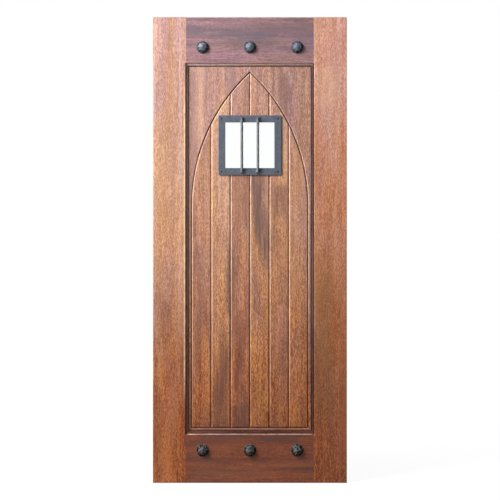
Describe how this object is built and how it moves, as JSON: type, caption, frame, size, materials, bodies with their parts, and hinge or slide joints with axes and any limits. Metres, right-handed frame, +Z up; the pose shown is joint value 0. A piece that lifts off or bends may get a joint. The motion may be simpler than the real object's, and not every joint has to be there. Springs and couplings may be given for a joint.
{
  "type": "wooden door with arched panel",
  "caption": "Rectangular stile-and-rail wooden door with a pointed-arch panel of V-jointed boards, a glazed window behind an iron grille, and hammered iron studs on its rails.",
  "frame": {"origin": "middle of the bottom edge, in the middle of the door's thickness", "axes": "+Z up, -Y out of the front face that carries the grille and studs, +X to the right seen from the front"},
  "size_m": [0.846, 0.0636, 2.032],
  "materials": {
    "wood_frame": "satin varnish on red-brown hardwood, upright grain",
    "wood_rail": "satin varnish on red-brown hardwood, level grain",
    "wood_board": "satin varnish on red-brown hardwood, upright grain",
    "wood_board_red": "satin varnish on a redder board, upright grain",
    "wood_board_gold": "satin varnish on a golden board, upright grain",
    "wood_moulding": "satin varnish, dark red-brown",
    "iron": "hammered, dark blue-grey",
    "glass": "clear",
    "tape": "matt dark grey bedding tape"
  },
  "bodies": {
    "root": {"left_stile": "wood_frame", "right_stile": "wood_frame", "top_rail": "wood_rail", "bottom_rail": "wood_rail", "plank_1": "wood_board", "plank_2": "wood_board", "plank_5": "wood_board", "plank_6": "wood_board", "left_spandrel": "wood_board", "right_spandrel": "wood_board", "base_strip": "wood_board", "plank_3_upper": "wood_board_red", "plank_3_lower": "wood_board_red", "plank_4_upper": "wood_board_gold", "plank_4_lower": "wood_board_gold", "front_moulding_left": "wood_moulding", "front_moulding_right": "wood_moulding", "front_moulding_top": "wood_moulding", "front_moulding_bottom": "wood_moulding", "back_moulding_left": "wood_moulding", "back_moulding_right": "wood_moulding", "back_moulding_top": "wood_moulding", "back_moulding_bottom": "wood_moulding", "glazing_bead_left": "wood_moulding", "glazing_bead_right": "wood_moulding", "glazing_bead_top": "wood_moulding", "glazing_bead_bottom": "wood_moulding", "glass_pane": "glass", "glazing_tape": "tape", "grille_frame": "iron", "grille_bar_left": "iron", "grille_bar_right": "iron", "grille_screws": "iron", "top_studs": "iron", "bottom_studs": "iron"}
  },
  "joints": []
}
